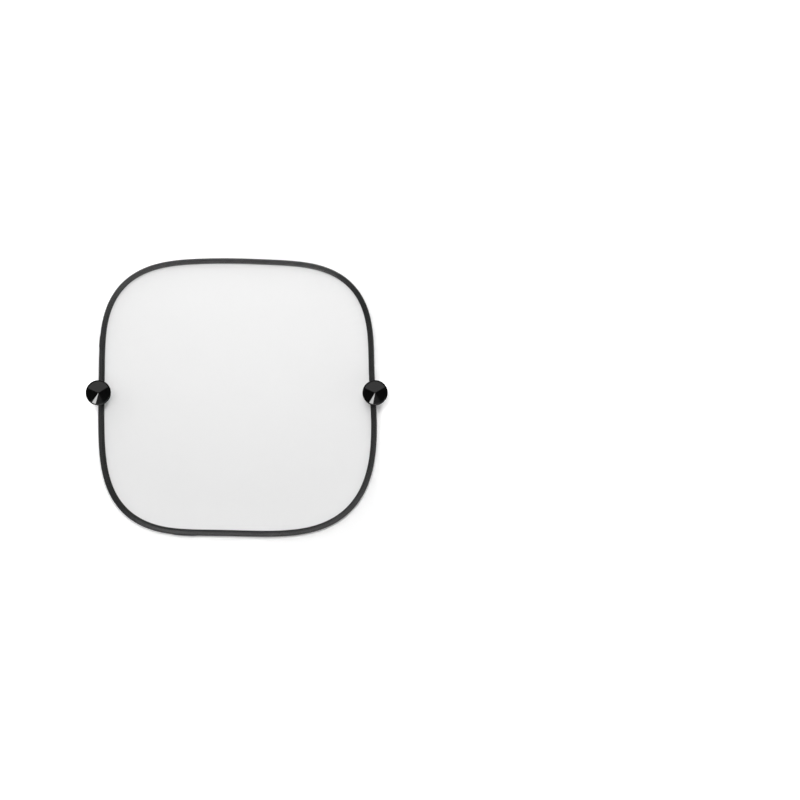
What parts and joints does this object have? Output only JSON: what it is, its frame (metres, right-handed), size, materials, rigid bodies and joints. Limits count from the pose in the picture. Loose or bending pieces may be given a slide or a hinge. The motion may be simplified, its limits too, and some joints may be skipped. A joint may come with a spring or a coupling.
{
  "type": "car window sunshade",
  "caption": "Rounded-square fabric sunshade held taut by a sprung wire hoop, with suction cups at its sides that press onto a car's side window.",
  "frame": {"origin": "middle of the footprint of the shade lying on its back, on the surface that it lies on", "axes": "+X across the shade from the left cup to the right cup, +Y up the shade, +Z out of its face, the way the cups face"},
  "size_m": [0.4113, 0.38, 0.0176],
  "materials": {
    "panel_fabric": "smooth white woven polyester, taut",
    "binding_fabric": "charcoal ribbed tape, folded and sewn",
    "spring_steel": "drawn spring wire",
    "sleeve_steel": "plated crimp sleeve",
    "cup_pvc": "glossy black soft PVC"
  },
  "bodies": {
    "shade": {"fabric_panel": "panel_fabric", "edge_binding": "binding_fabric", "hoop_wire": "spring_steel", "wire_sleeve": "sleeve_steel"},
    "left_cup": {"left_suction_cup": "cup_pvc"},
    "right_cup": {"right_suction_cup": "cup_pvc"}
  },
  "joints": [
    {"name": "left_cup_swing", "type": "hinge", "parent": "shade", "child": "left_cup", "pos_m": [-0.18721, 0.0064, 0.0023], "axis": [-0.0158, -0.9999, 0], "range_deg": [-30, 180]},
    {"name": "right_cup_swing", "type": "hinge", "parent": "shade", "child": "right_cup", "pos_m": [0.18721, 0.0064, 0.0023], "axis": [-0.0563, 0.9984, 0], "range_deg": [-30, 180]}
  ]
}
